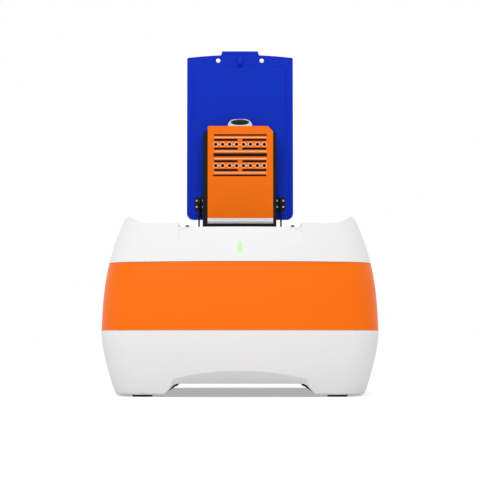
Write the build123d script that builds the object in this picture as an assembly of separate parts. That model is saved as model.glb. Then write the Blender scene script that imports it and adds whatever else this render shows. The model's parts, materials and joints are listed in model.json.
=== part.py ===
from build123d import *
import math
import os

# Automated ELISA analyzer for the bench, shown with its lid up and a cartridge in the holder.
# X runs to the right, the front faces -Y, Z is up, and the origin is the middle of the footprint.

os.makedirs("parts", exist_ok=True)

# Housing: outline in plan, parting heights and walls
half_width = 170.0
front_reach = 225.0
rear_reach = 225.0
corner_radius = 46.0
front_bow = 28.0
side_bow = 7.0
rear_bow = 12.0
shell_bottom = 2.5
low_seam = 78.0
high_seam = 158.2
shoulder_top = 217.0
shoulder_round = 12.0
flank_top = 204.5
flank_inset = 66.0
flank_half = half_width - flank_inset
shoulder_inset = 34.0
shoulder_half = half_width - shoulder_inset
shoulder_spare = 0.5
wall = 3.0
bottom_round = 4.0
# Draft of the walls: share of the way from the low seam, inset of the sides, front and rear
upper_draft = ((0.0, 0.0, 0.0, 0.0), (0.288, 2.2, 1.5, 1.5), (0.576, 8.3, 6.5, 5.0),
               (0.806, 17.2, 15.5, 10.0), (1.0, 27.5, 27.0, 16.5))
lower_draft = ((0.0, 0.0, 0.0, 0.0), (0.21, 1.1, 1.0, 0.7), (0.5, 5.2, 4.5, 3.5),
               (0.78, 10.6, 10.0, 9.0), (1.0, 16.2, 16.0, 14.0))

# Arch under the body, front to rear, with its bevelled mouths
arch_top = 15.7
leg_width = 94.2
arch_half_top = half_width - leg_width
arch_round = 8.0
bevel_width = 12.0
bevel_run = 8.0
lip_depth = 27.0
lip_margin = 18.0
pan_sheet = 2.0
pan_flat = 9.0
pan_clear = 0.5

# Feet
foot_side_inset = 54.5
foot_end_inset = 53.0
foot_radius = 12.0
foot_sink = 1.5
foot_chamfer = 0.6

# Lid hinge: axis along X
axis_y = 46.5
axis_z = 203.0
shaft_radius = 3.5
run_gap = 0.05
boss_radius = 7.5

# Deck recess for the lid
recess_half = 72.6
ledge_z = 199.5
well_z = 196.5
well_half = 63.5
well_gap = 1.5
deck_bottom = 193.5
deck_margin = 3.0
recess_rear = 69.0
scoop_drop = 15.5
scoop_depth = 2.4
scoop_fade = 9.0
web_depth = 5.0
deck_clear = 12.0
mouth_overlap = 0.8

# Lid, standing open at rest
lid_half = 70.65
lid_bottom = 227.0
lid_setback = 30.6
lid_corner_z = axis_z + axis_y + front_reach - lid_setback
lid_crown = 4.2
lid_face = 1.0
lid_thick = 12.0
lid_low_corner = 8.5
lid_high_corner = 2.0
lid_edge = 3.0
lid_pocket = 6.0
pocket_rim = 8.0
plug_half = 61.0
plug_thick = 3.0
plug_low = 233.0
plug_gap = 15.0
plug_corner = 3.0
plug_chamfer = 1.2
tab_rise = 9.8
tab_top = lid_corner_z + tab_rise
tab_half = 23.6
tab_thick = 6.0
tab_sink = 2.0
tab_taper = 0.35
tab_round = 1.5
catch_x = 29.05
catch_drop = 4.0
catch_z = lid_corner_z - catch_drop
catch_radius = 3.0
catch_proud = 1.0
catch_seat = 2.0
catch_clear = 0.05
magnet_radius = 4.0
magnet_depth = 2.5
tongue_width = 4.0
tongue_length = 13.5
tongue_rise = 1.1
tongue_high = lid_corner_z + tongue_rise
tongue_low = tongue_high - tongue_length
tongue_reach = 9.0
tongue_clear = 1.5
tongue_seat = 0.2
tongue_lead = 5.0
switch_half = 9.0
switch_margin = 3.0
switch_height = 12.0
bumper_x = 62.0
bumper_inset = 2.0
bumper_radius = 2.3
bumper_round = 0.6
bumper_gap = 0.3
relief_half = 50.3
relief_top = 296.0
relief_flare = 55.0
relief_flare_z = 250.0
relief_knee = 11.0
relief_depth = 2.0

# Hinge arms and their screws
arm_x = 54.3
arm_sheet = 2.0
arm_boss_inner = 49.8
arm_shoulder = 0.8
arm_reach = 8.0
arm_rise = 2.5
arm_foot = 5.0
flange_low = 239.0
flange_high = 256.0
flange_sheet = 1.5
flange_outer = 60.3
flange_inner = 46.5
flange_ground = 1.0
flange_corner = 1.5
screw_z = (243.4, 251.6)
screw_outer_x = 57.3
screw_inner_x = 49.3
screw_radius = 1.0
screw_head = 1.4
screw_head_high = 1.1
screw_clear = 0.05

# Hinge cover and bearings
cover_radius = 23.3
cover_top = 213.5
cover_wall = 2.5
cover_end_gap = 0.4
cover_cell = 6.0
shaft_clear = 0.6
block_inner = 60.0
block_outer = 69.0
block_depth = 18.0
block_top = 210.6
shaft_end = 0.5
clutch_half = 20.0
clutch_split = 1.2

# Cartridge, on the footprint of a microplate
cart_width = 85.48
cart_length = 127.76
cart_thick = 14.4
cart_x = 0.5
cart_bottom = 219.1
cart_front = 5.5
label_sheet = 0.8
label_foot = 6.7
cart_corner = 1.5
notch_x = 6.6
notch_z = 7.2
groove_depth = 1.4
groove_width = 3.0
groove_stop = 2.0
# Windows of the cartridge: drop from its top edge, height, left and right end
long_slots = ((11.9, 2.1, -34.2, 35.3), (38.1, 4.6, -34.8, 35.3), (65.0, 2.2, -34.8, 34.3))
short_slots = ((18.3, 3.0, -33.9, -2.95), (18.3, 3.0, 2.95, 34.4), (29.9, 3.0, -33.9, -2.95),
               (29.9, 3.0, 2.95, 34.4), (46.4, 3.0, -33.9, -2.95), (46.4, 3.0, 2.95, 34.4),
               (58.0, 3.0, -33.9, -2.95), (58.0, 3.0, 2.95, 34.4))
well_drops = (24.2, 52.2)
well_count = 8
well_pitch = 9.1
well_radius = 2.15
well_first = -31.8
pocket_depth = 4.0
seal_low = 2.3
seal_high = 0.35
seal_depth = 0.9
seal_clear = 0.1

# Cartridge holder, a U-shaped frame
left_rail = 6.2
right_rail = 3.9
holder_gap = 0.3
back_gap = 0.4
back_sheet = 3.0
holder_bottom = 214.0
cart_proud = 5.86
holder_top = cart_bottom + cart_length - cart_proud
rail_chamfer = 4.0
lug_inner = 42.2
lug_thick = 5.0
lug_rise = 4.0
lug_drop = 3.0
lug_throat = 12.0
lug_toe = 5.0
lug_shave = 1.2
lug_crown = 14.0
tongue_gap = 0.4
rail_tip = 6.0
window_cut = 40.0

# Release lever behind the top of the cartridge
lever_half = 16.0
lever_rise = 18.4
lever_top = holder_top + lever_rise
lever_round = 10.0
lever_sheet = 4.0
lever_tail_half = 8.5
lever_slope = 9.8
lever_slope_z = lever_top - lever_slope
lever_depth = 10.6
pin_y = 28.4
pin_drop = 12.0
pin_z = holder_top - pin_drop
pin_radius = 1.5
lever_lift = 0.6
lever_boss = 3.4
lever_heel = 7.0
ear_thick = 3.0
ear_gap = 0.5
ear_reach = 3.0
ear_half = 4.0
pad_width = 23.6
pad_height = 10.4
pad_proud = 0.5
pad_sink = 1.2
pad_margin = 1.4
pad_clear = 0.1

# Bay below the deck
bay_half = 59.5
bay_gap = 4.1
bay_front = axis_y + axis_z - lever_top - bay_gap
bay_floor = 152.0
tub_wall = 2.0
slot_inner = 41.3
slot_outer = 57.5
slot_rear = 56.5
window_half = 38.0
window_inset = 24.0
window_length = 66.0
window_front = bay_front + window_inset
window_rear = window_front + window_length
window_seat = 3.0
window_sheet = 1.0
window_clear = 0.2
tub_clear = 1.0

# Front light
light_half = 2.35
light_low = 168.7
light_high = 181.9
light_depth = 6.0
light_clear = 0.1
light_run = 30.0
light_board_half = 14.0
light_post = 4.0
board_drop = 6.0
post_low = 2.0

# Optics bench and scan stage
bench_half = 66.0
bench_overhang = 36.0
bench_length = 190.0
bench_front = bay_front - bench_overhang
bench_rear = bench_front + bench_length
bench_sheet = 3.0
bench_wall = 5.0
bench_top = 118.0
bench_leg = 14.0
bench_sill = 12.0
bench_head = 34.0
rod_x = 42.0
rod_z = 104.0
rod_radius = 4.0
screw_drive_radius = 3.0
screw_grip = 2.0
screw_room = 0.3
carriage_inset = 54.0
carriage_y = bay_front + carriage_inset
carriage_half_x = 54.0
carriage_half_y = 24.0
carriage_low = 92.0
carriage_top = 118.0
lens_radius = 14.0
lens_top = 146.0
lens_nose = 6.0
lens_shoulder = 3.0
lens_glass = 9.0
lens_seat = 4.0
lens_sheet = 2.5
laser_low = 58.0
laser_x = (-24.0, 14.0)
laser_depth = 32.0
fin_count = 5
fin_pitch = 5.0
fin_depth = 4.0
detector_x = 32.0
detector_radius = 10.0
motor_size = 42.0
motor_length = 34.0
motor_chamfer = 3.0
edge_break = 2.0

# Valve manifold under the bay
manifold_half = 50.0
manifold_front = 4.0
manifold_rear = 48.0
manifold_low = 129.0
valve_count = 5
valve_radius = 5.5
valve_drop = 16.0
valve_inset = 10.0

# Power supply, pump and board on the floor, placed from the housing's walls
floor_side_gap = 22.0
floor_end_gap = 105.0
pump_radius = 17.0
pump_length = 66.0
pump_overhang = 10.0
pump_head = 22.0
pump_foot = 6.0
pump_side_gap = 27.0
pump_inset = 115.0
pump_x = pump_side_gap + pump_radius - half_width
pump_y = pump_inset - front_reach
supply_width = 42.0
supply_gap = 37.0
supply_end_gap = 125.0
supply_x = (floor_side_gap - half_width, floor_side_gap + supply_width - half_width)
supply_y = (pump_y + pump_length / 2 + supply_gap, rear_reach - supply_end_gap)
supply_height = 52.0
vent_count = 6
vent_width = 6.0
board_width = 42.0
board_x = (half_width - floor_side_gap - board_width, half_width - floor_side_gap)
board_y = (floor_end_gap - front_reach, rear_reach - floor_end_gap)
board_sheet = 1.6
post_height = 8.0
post_radius = 3.0
post_inset = 6.0
# Components: offsets from the board's middle, width, depth, height
board_chips = ((0.0, -70.0, 16.0, 16.0, 3.0), (-3.0, -20.0, 12.0, 24.0, 2.0),
               (4.0, 30.0, 14.0, 14.0, 8.0), (0.0, 80.0, 20.0, 12.0, 12.0))

# Rear panel and what it carries
panel_inset = 53.0
panel_half = half_width - panel_inset
panel_low = 84.0
panel_high = 152.0
panel_sink = 15.0
panel_face = rear_reach - panel_sink
panel_sheet = 3.0
frame_margin = 3.0
port_margin = 6.0
port_half = panel_half - port_margin
port_low = panel_low + port_margin
port_high = panel_high - port_margin
panel_screw = 1.5
panel_screw_inset = 5.5
fan_size = 54.0
fan_gap = 1.0
fan_x = fan_size / 2 + fan_gap + panel_screw + panel_screw_inset - port_half
fan_z = (panel_low + panel_high) / 2
fan_depth = 15.0
fan_bore = 25.5
fan_hub = 10.0
blade_count = 7
blade_tip = 24.0
blade_sheet = 1.2
blade_chord = 12.0
blade_pitch = 35.0
fan_corner = 3.0
fan_arm = 2.0
fan_pin = 1.5
fan_pin_stop = 4.0
rotor_gap = 0.6
rotor_stop = 1.5
grille_rings = (9.0, 15.5, 22.0)
grille_slot = 4.0
grille_spoke = 3.0
# Connectors sit in one row, placed from the right end of the panel
row_drop = 6.0
row_z = fan_z - row_drop
inlet_margin = 3.5
inlet_width = 27.0
inlet_height = 20.0
inlet_depth = 18.0
inlet_cut = 4.0
inlet_wall = 2.0
inlet_floor = 3.0
inlet_flange = 3.0
inlet_x = port_half - inlet_margin - inlet_flange - inlet_width / 2
inlet_pin_spots = ((-7.0, -2.0), (0.0, 2.0), (7.0, -2.0))
pin_width = 2.0
pin_length = 11.0
rocker_width = 13.0
rocker_height = 19.0
rocker_tilt = 8.0
rocker_gap = 0.4
rocker_frame = 2.0
rocker_rim = 3.5
rocker_proud = 1.5
rocker_sink = 3.0
rocker_crest = 3.0
rocker_belly = -1.0
rocker_toe = 3.0
rocker_keel = -6.0
trunnion_radius = 1.2
trunnion_reach = 1.4
switch_depth = 12.0
connector_gap = 3.5
rocker_x = inlet_x - inlet_width / 2 - inlet_flange - connector_gap - rocker_rim - rocker_width / 2
usb_width = 6.6
usb_height = 14.0
usb_pitch = 12.0
net_width = 15.0
net_x = rocker_x - rocker_width / 2 - rocker_rim - connector_gap - net_width / 2
usb_x = (net_x - net_width / 2 - connector_gap - usb_width / 2,
         net_x - net_width / 2 - connector_gap - usb_width / 2 - usb_pitch)
port_clear = 0.15
port_sheet = 0.6
port_depth = 14.0
port_back = 2.0

# Cutters run this far past the faces that they cut
past = 1.0
# Round bars start at their own origin and grow along their axis
from_low = (Align.CENTER, Align.CENTER, Align.MIN)


def block(x0, x1, y0, y1, z0, z1):
    """Box between two corners."""
    return Pos((x0 + x1) / 2, (y0 + y1) / 2, (z0 + z1) / 2) * Box(x1 - x0, y1 - y0, z1 - z0)


def plate(x, z, width, height, y0, y1):
    """Upright plate around a centre, between two Y values."""
    return block(x - width / 2, x + width / 2, y0, y1, z - height / 2, z + height / 2)


def rod_along_x(radius, x0, x1, y, z):
    """Round bar between two X values."""
    return Pos(x0, y, z) * Rot(0, 90, 0) * Cylinder(radius, x1 - x0, align=from_low)


def rod_along_y(radius, x, y0, y1, z):
    """Round bar between two Y values."""
    return Pos(x, y1, z) * Rot(90, 0, 0) * Cylinder(radius, y1 - y0, align=from_low)


def rod_along_z(radius, x, y, z0, z1):
    """Round bar between two heights."""
    return Pos(x, y, z0) * Cylinder(radius, z1 - z0, align=from_low)


def prism_x(outline, x0, x1):
    """Outline of (y, z) points pulled along X."""
    face = make_face(Polyline(*outline, close=True))
    return extrude(Plane.YZ.offset(x0) * face, amount=x1 - x0)


def prism_y(outline, y0, y1):
    """Outline of (x, z) points pulled along Y."""
    face = make_face(Polyline(*outline, close=True))
    return extrude(Plane.XZ.offset(-y1) * face, amount=y1 - y0)


def both_sides(solid):
    """The solid and its mirror image across the middle."""
    return [solid, mirror(solid, about=Plane.YZ)]


def save(name, *solids):
    """Write the node, every piece of it a separate solid."""
    pieces = []
    for solid in solids:
        pieces.extend(solid.solids())
    shape = pieces[0] if len(pieces) == 1 else Compound(children=pieces)
    export_step(shape, f"parts/{name}.step")


# Housing shells

def plan_section(z, side_inset, front_inset, rear_inset, shrink):
    """Bowed outline of the housing at one height."""
    half = half_width - side_inset - shrink
    front = front_reach - front_inset - shrink
    rear = rear_reach - rear_inset - shrink
    x = half - side_bow
    low = front_bow - front
    high = rear - rear_bow
    right = ThreePointArc((x, low), (half, 0), (x, high))
    back = ThreePointArc((x, high), (0, rear), (-x, high))
    left = ThreePointArc((-x, high), (-half, 0), (-x, low))
    face = make_face(right + back + left + ThreePointArc((-x, low), (0, -front), (x, low)))
    return Pos(0, 0, z) * fillet(face.vertices(), corner_radius - shrink)


def draft_loft(table, z_end, shrink):
    """Loft through the sections of a draft table, from the low seam to z_end."""
    sections = []
    for share, side, front, rear in table:
        z = low_seam + share * (z_end - low_seam)
        sections.append(plan_section(z, side, front, rear, shrink))
    return loft(sections)


def dish(drop):
    """Space above the dished top, lowered by drop."""
    rise = shoulder_top + shoulder_spare - flank_top
    run = shoulder_half - flank_half
    sweep = (run * run + rise * rise) / (2 * rise)
    half_turn = math.asin(run / sweep) / 2
    low = flank_top - drop
    high = low + rise
    middle_x = flank_half + sweep * math.sin(half_turn)
    middle_z = low + sweep * (1 - math.cos(half_turn))
    roof = 2 * shoulder_top
    right = ThreePointArc((flank_half, low), (middle_x, middle_z), (shoulder_half, high))
    left = ThreePointArc((-flank_half, low), (-middle_x, middle_z), (-shoulder_half, high))
    top = Polyline((shoulder_half, high), (shoulder_half, roof),
                   (-shoulder_half, roof), (-shoulder_half, high))
    face = make_face(right + left + top + Line((flank_half, low), (-flank_half, low)))
    return extrude(Plane.XZ * face, amount=2 * front_reach, both=True)


def upper_body(shrink):
    """Upper half of the housing as a solid, with rounded shoulders and the dished top."""
    body = draft_loft(upper_draft, shoulder_top - shrink, shrink)
    rim = body.faces().sort_by(Axis.Z)[-1].edges()
    return fillet(rim, shoulder_round - shrink) - dish(shrink)


def lower_body(shrink):
    """Lower half of the housing as a solid."""
    return draft_loft(lower_draft, shell_bottom + shrink, shrink)


def slab(z0, z1):
    """Layer that is wider than the housing."""
    x = half_width + past
    return block(-x, x, -front_reach - past, rear_reach + past, z0, z1)


def make_upper_cover(outer, inner):
    """Top cover: dished shell, sunk deck for the lid, and the mouth of the bay."""
    cover = (outer - inner) & slab(high_seam, shoulder_top + past)
    deck_half = recess_half + deck_margin
    deck_rear = recess_rear + deck_margin
    deck = block(-deck_half, deck_half, -front_reach, deck_rear, deck_bottom, flank_top)
    web_rear = -front_reach + upper_draft[3][2] + wall + web_depth
    web_low = ledge_z - scoop_drop - wall
    web = block(-deck_half, deck_half, -front_reach, web_rear, web_low, flank_top)
    cover += (deck + web) & outer
    roof = shoulder_top + past
    floor = deck_bottom - deck_clear
    hump_front = axis_y - cover_radius
    cover -= block(-recess_half, recess_half, -front_reach, recess_rear, ledge_z, roof)
    well_front = closed_y(plug_top(0)) - well_gap
    cover -= block(-well_half, well_half, well_front, recess_rear, well_z, roof)
    cover -= block(-recess_half, recess_half, hump_front, recess_rear, well_z, roof)
    cover -= block(-bay_half, bay_half, bay_front, hump_front + mouth_overlap, floor, roof)
    for slot in both_sides(block(slot_inner, slot_outer, bay_front, slot_rear, floor, roof)):
        cover -= slot
    cover -= scoop(outer)
    cover -= tongue_slot(floor, roof)
    for x, y in catch_spots():
        cover -= rod_along_z(magnet_radius + catch_clear, x, y, ledge_z - magnet_depth, ledge_z + past)
    cover -= light_bar(light_clear)
    return cover


def scoop(outer):
    """Shallow relief in the front wall below the lid's tab, leaned back until it runs out downwards."""
    low_z = ledge_z - scoop_drop
    low_y = face_front(outer, low_z)
    lean = math.degrees(math.atan(scoop_depth / scoop_drop))
    leaned = outer.rotate(Axis((0, low_y, low_z), (-1, 0, 0)), lean)
    rear = low_y + 4 * scoop_depth + wall
    return block(-recess_half, recess_half, -front_reach, rear, low_z - scoop_fade, ledge_z + wall) - leaned


def face_front(outer, z):
    """Y of the front wall on the middle line at height z."""
    thin = 0.05
    probe = outer & block(-thin, thin, -front_reach - past, 0, z - thin, z + thin)
    return probe.bounding_box().min.Y


def closed_y(z):
    """Where a height on the open lid lies along Y once the lid is down."""
    return axis_y - (z - axis_z)


def catch_spots():
    """Centres of the deck magnets, below the closed lid's catches."""
    return [(catch_x, closed_y(catch_z)), (-catch_x, closed_y(catch_z))]


def tongue_slot(z0, z1):
    """Upright slot for the lid's tongue."""
    half = tongue_width / 2 + tongue_clear
    front = closed_y(tongue_high) - tongue_clear
    return block(-half, half, front, closed_y(tongue_low) + tongue_clear, z0, z1)


def light_bar(grow):
    """Bar of the front light, grown for its opening."""
    half = light_half + grow
    rear = -front_reach + light_run + grow
    return block(-half, half, -front_reach, rear, light_low - grow, light_high + grow)


def make_mid_band(outer, inner):
    """Coloured band between the covers, with a thick frame around the rear recess."""
    band = (outer - inner) & slab(low_seam, high_seam)
    half = panel_half + frame_margin
    frame = block(-half, half, panel_face, rear_reach, panel_low - frame_margin, panel_high + frame_margin)
    band += frame & outer
    return band - block(-port_half, port_half, panel_face - past, rear_reach + past, port_low, port_high)


def arch_outline(grow, low):
    """Trapezium of the arch's cross-section, grown evenly outwards, down to height low."""
    top = arch_top + grow
    half = arch_half_top + grow * math.tan(math.radians(22.5))
    base = half + top - low
    return [(base, low), (half, top), (-half, top), (-base, low)]


def arch(grow):
    """Space under the arch, front to rear."""
    body = prism_y(arch_outline(grow, -arch_top), -front_reach - past, rear_reach + past)
    corners = body.edges().filter_by(Axis.Y).group_by(Axis.Z)[-1]
    return fillet(corners, arch_round + grow)


def mouth_bevel(sign):
    """Flared cut that bevels the arch's front (-1) or rear (1) mouth inwards."""
    reach = front_reach - lower_draft[-2][2] if sign < 0 else rear_reach - lower_draft[-2][3]
    faces = []
    for y, grow in ((reach + bevel_run, bevel_width + bevel_run), (reach - bevel_width, 0.0)):
        outline = Polyline(*arch_outline(grow, -arch_top), close=True)
        faces.append(Plane.XZ.offset(-sign * y) * make_face(outline))
    return loft(faces, ruled=True)


def make_lower_cover(outer, inner):
    """Open ring on the feet, with a thick lip over each mouth of the arch."""
    ring = outer - inner
    half = arch_half_top + arch_top + pan_flat
    inner_front = -front_reach + lip_depth
    inner_rear = rear_reach - lip_depth
    lip_top = arch_top + lip_margin
    front_lip = block(-half, half, -front_reach, inner_front, shell_bottom, lip_top)
    ring += (front_lip + block(-half, half, inner_rear, rear_reach, shell_bottom, lip_top)) & outer
    opening = arch_half_top + arch_top
    ring -= block(-opening, opening, inner_front, inner_rear, 0, shell_bottom + wall + past)
    ring -= arch(0)
    ring -= mouth_bevel(-1)
    ring -= mouth_bevel(1)
    for x, y in foot_spots():
        ring -= rod_along_z(foot_radius, x, y, 0, shell_bottom + foot_sink)
    return ring


def make_base_pan():
    """Sheet tunnel over the arch, with a flat flange along each side."""
    half = arch_half_top + arch_top + pan_flat
    y0 = -front_reach + lip_depth
    y1 = rear_reach - lip_depth
    seat = shell_bottom + wall
    sheet = block(-half, half, y0, y1, seat, seat + pan_sheet)
    tunnel = arch(pan_sheet) & block(-half, half, y0, y1, seat, shoulder_top)
    inside = extrude(plan_section(0, *lower_draft[-1][1:], wall + pan_clear), amount=low_seam)
    return ((sheet + tunnel) & inside) - arch(0)


def foot_spots():
    """Centres of the four feet."""
    foot_x = half_width - foot_side_inset
    ys = (-front_reach + foot_end_inset, rear_reach - foot_end_inset)
    return [(x, y) for x in (-foot_x, foot_x) for y in ys]


def make_feet():
    """Four rubber feet, seated in the lower cover."""
    feet = []
    for x, y in foot_spots():
        foot = rod_along_z(foot_radius, x, y, 0, shell_bottom + foot_sink)
        feet.append(chamfer(foot.edges().group_by(Axis.Z)[0], foot_chamfer))
    return feet


# Hinge, lid and arms

def make_hinge_cover():
    """Hump over the shaft: round to the front, flat on top and sloped to the rear."""
    rear = recess_rear - cover_end_gap
    reach = math.sqrt(cover_radius ** 2 - (cover_top - axis_z) ** 2)
    foot = math.sqrt(cover_radius ** 2 - (well_z - axis_z) ** 2)
    start = (axis_y - foot, well_z)
    end = (axis_y - reach, cover_top)
    front = ThreePointArc(start, (axis_y - cover_radius, axis_z), end)
    brow = rear - (cover_top - flank_top)
    back = Polyline(end, (brow, cover_top), (rear, flank_top), (rear, well_z), start)
    half = recess_half - cover_end_gap
    hump = extrude(Plane.YZ.offset(-half) * make_face(front + back), amount=2 * half)
    cell_front = axis_y - boss_radius - cover_cell
    cell_top = cover_top - cover_wall
    for x0, x1 in ((-half, -slot_outer), (-slot_inner, slot_inner), (slot_outer, half)):
        hump -= block(x0 + tub_wall, x1 - tub_wall, cell_front, brow - past, well_z - past, cell_top)
    for slot in both_sides(block(slot_inner, slot_outer, 0, slot_rear, well_z - past, cover_top + past)):
        hump -= slot
    return hump - rod_along_x(shaft_radius + shaft_clear, -half, half, axis_y, axis_z)


def shaft_bore(reach):
    """Running bore for the hinge shaft."""
    return rod_along_x(shaft_radius + run_gap, -reach, reach, axis_y, axis_z)


def make_bearing_blocks():
    """Blocks at the ends of the hinge shaft."""
    half = block_depth / 2
    body = block(block_inner, block_outer, axis_y - half, axis_y + half, well_z, block_top)
    return both_sides(body - shaft_bore(block_outer + past))


def make_friction_clutch():
    """Split clamp in the middle of the shaft that holds the lid at any angle."""
    half = block_depth / 2
    body = block(-clutch_half, clutch_half, axis_y - half, axis_y + half, well_z, block_top)
    x = clutch_half + past
    split = block(-x, x, axis_y - clutch_split / 2, axis_y + clutch_split / 2, axis_z, block_top + past)
    return body - shaft_bore(x) - split


def lid_outline():
    """Front outline of the lid: straight sides, a slightly crowned top and round lower corners."""
    left = (-lid_half, lid_corner_z)
    right = (lid_half, lid_corner_z)
    crown = ThreePointArc(right, (0, lid_corner_z + lid_crown), left)
    face = make_face(crown + Polyline(left, (-lid_half, lid_bottom), (lid_half, lid_bottom), right))
    face = fillet(face.vertices().group_by(Axis.Y)[0], lid_low_corner)
    return fillet(face.vertices().group_by(Axis.Y)[-1], lid_high_corner)


def lid_rim_y():
    """Face of the open lid's rim."""
    return axis_y - lid_face


def make_lid_shell():
    """Outer half of the lid, with its finger tab and a pocket behind the liner."""
    rim = lid_rim_y()
    outer = rim + lid_thick
    shell = extrude(Plane.XZ.offset(-outer) * lid_outline(), amount=lid_thick)
    shell = fillet(shell.faces().sort_by(Axis.Y)[-1].edges(), lid_edge)
    base = lid_corner_z - tab_sink
    root = tab_half + (tab_top - base) * tab_taper
    tab_rear = outer - lid_edge
    tab = prism_y([(-root, base), (root, base), (tab_half, tab_top), (-tab_half, tab_top)],
                  tab_rear - tab_thick, tab_rear)
    shell += fillet(tab.edges().filter_by(Axis.X).group_by(Axis.Z)[-1], tab_round)
    half = plug_half - pocket_rim
    shell -= block(-half, half, rim - past, rim + lid_pocket, plug_low + pocket_rim, plug_top(0) - pocket_rim)
    for x in (-catch_x, catch_x):
        shell -= rod_along_y(catch_radius, x, rim - past, rim + catch_seat, catch_z)
    half = tongue_width / 2
    return shell - block(-half, half, rim - past, rim + catch_seat, tongue_low, tongue_high)


def plug_top(x):
    """Height of the liner's upper edge, which follows the lid's crowned edge."""
    return lid_corner_z + lid_crown * (1 - (x / lid_half) ** 2) - plug_gap


def make_lid_liner():
    """Raised inner plate of the lid, which enters the bay's mouth when the lid is down."""
    rim = lid_rim_y()
    face_y = rim - plug_thick
    left = (-plug_half, plug_top(plug_half))
    right = (plug_half, plug_top(plug_half))
    crown = ThreePointArc(right, (0, plug_top(0)), left)
    outline = make_face(crown + Polyline(left, (-plug_half, plug_low), (plug_half, plug_low), right))
    liner = extrude(Plane.XZ.offset(-rim) * fillet(outline.vertices(), plug_corner), amount=plug_thick)
    liner = chamfer(liner.faces().sort_by(Axis.Y)[0].edges(), plug_chamfer)
    liner -= relief()
    half = tongue_width / 2 + tongue_seat
    liner -= block(-half, half, face_y - past, rim + past, tongue_low - tongue_seat, tongue_high)
    for x, z in screw_spots():
        liner -= rod_along_y(screw_radius + screw_clear, x, face_y - past, rim + past, z)
    return liner


def relief():
    """Wedge-shaped relief in the liner that clears the holder, flared for the arms."""
    face_y = lid_rim_y() - plug_thick
    low = plug_low - past
    wedge = prism_x([(face_y - past, relief_top), (face_y, relief_top), (face_y + relief_depth, low),
                     (face_y - past, low)], -plug_half, plug_half)
    knee = relief_flare_z + relief_knee
    right = [(relief_flare, low), (relief_flare, relief_flare_z),
             (relief_half, knee), (relief_half, relief_top)]
    left = [(-x, z) for x, z in reversed(right)]
    return wedge & (prism_y(left + right, face_y - relief_depth, face_y + 2 * relief_depth) - both_flanges())


def both_flanges():
    """Solid ground that stays under the arm flanges."""
    x0 = flange_inner - flange_ground
    x1 = flange_outer + flange_ground
    z0 = flange_low - flange_ground
    rim = lid_rim_y()
    pad = block(x0, x1, rim - lid_thick, rim + lid_thick, z0, flange_high + flange_ground)
    return pad + mirror(pad, about=Plane.YZ)


def screw_spots():
    """Front places (x, z) of the arm screws."""
    spots = []
    for side in (-1, 1):
        for x in (screw_inner_x, screw_outer_x):
            for z in screw_z:
                spots.append((side * x, z))
    return spots


def make_hinge_arms():
    """Two plates on the hinge shaft, each with a flange that is screwed to the liner."""
    face_y = lid_rim_y() - plug_thick
    x0 = arm_x - arm_sheet / 2
    x1 = arm_x + arm_sheet / 2
    shoulder = boss_radius - arm_shoulder
    outline = [(face_y, flange_high), (face_y - arm_reach / 2, flange_high),
               (face_y - arm_reach, flange_high - arm_reach), (axis_y - shoulder, axis_z + arm_rise),
               (axis_y + shoulder, axis_z + arm_rise), (face_y, flange_low - arm_foot)]
    arm = prism_x(outline, x0, x1) + rod_along_x(boss_radius, arm_boss_inner, x1, axis_y, axis_z)
    flange = block(flange_inner, flange_outer, face_y - flange_sheet, face_y, flange_low, flange_high)
    arm += fillet(flange.edges().filter_by(Axis.Y), flange_corner)
    arm -= shaft_bore(block_outer)
    for x in (screw_inner_x, screw_outer_x):
        for z in screw_z:
            arm -= rod_along_y(screw_radius + screw_clear, x, face_y - flange_sheet - past, face_y + past, z)
    return both_sides(arm)


def make_arm_screws():
    """Cap screws that hold the arm flanges to the liner."""
    face_y = lid_rim_y() - plug_thick
    head_y = face_y - flange_sheet
    screws = []
    for x, z in screw_spots():
        head = rod_along_y(screw_head, x, head_y - screw_head_high, head_y, z)
        head = chamfer(head.edges().group_by(Axis.Y)[0], screw_head_high / 3)
        screws.append(head + rod_along_y(screw_radius, x, head_y, face_y + plug_thick, z))
    return screws


def make_lid_catches():
    """Steel discs in the rim that meet the deck's magnets."""
    rim = lid_rim_y()
    discs = []
    for x in (-catch_x, catch_x):
        disc = rod_along_y(catch_radius, x, rim - catch_proud, rim + catch_seat, catch_z)
        discs.append(chamfer(disc.edges().group_by(Axis.Y)[0], catch_proud / 3))
    return discs


def make_lid_tongue():
    """Blade that enters the deck and closes the interlock switch."""
    seat = lid_rim_y() + catch_seat
    tip = lid_rim_y() - tongue_reach
    outline = [(seat, tongue_low), (seat, tongue_high), (lid_rim_y(), tongue_high),
               (tip, tongue_high - tongue_lead), (tip, tongue_low + tongue_lead / 2),
               (tip + tongue_lead / 2, tongue_low)]
    return prism_x(outline, -tongue_width / 2, tongue_width / 2)


# Cartridge and holder

def cart_y_back():
    """Rear face of the cartridge."""
    return cart_front + cart_thick


def cart_outline(z_low):
    """Front outline of the cartridge from z_low up, with one cut corner for keying."""
    x0 = cart_x - cart_width / 2
    x1 = cart_x + cart_width / 2
    top = cart_bottom + cart_length
    return [(x0, z_low), (x1, z_low), (x1, top - notch_z), (x1 - notch_x, top),
            (x0 + cart_corner, top), (x0, top - cart_corner)]


def label_cuts(y0, y1):
    """Windows of the cartridge, as cutters between two planes."""
    top = cart_bottom + cart_length
    cutters = []
    for drop, height, x0, x1 in long_slots + short_slots:
        cutters.append(block(x0, x1, y0, y1, top - drop - height / 2, top - drop + height / 2))
    for drop in well_drops:
        for i in range(well_count):
            cutters.append(rod_along_y(well_radius, well_first + i * well_pitch, y0, y1, top - drop))
    return cutters


def make_cartridge_body():
    """Black core of the cartridge, with its wells and channels."""
    body = prism_y(cart_outline(cart_bottom + label_foot), cart_front + label_sheet, cart_y_back())
    for cutter in label_cuts(cart_front, cart_front + label_sheet + pocket_depth):
        body -= cutter
    return body - cart_grooves()


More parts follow.
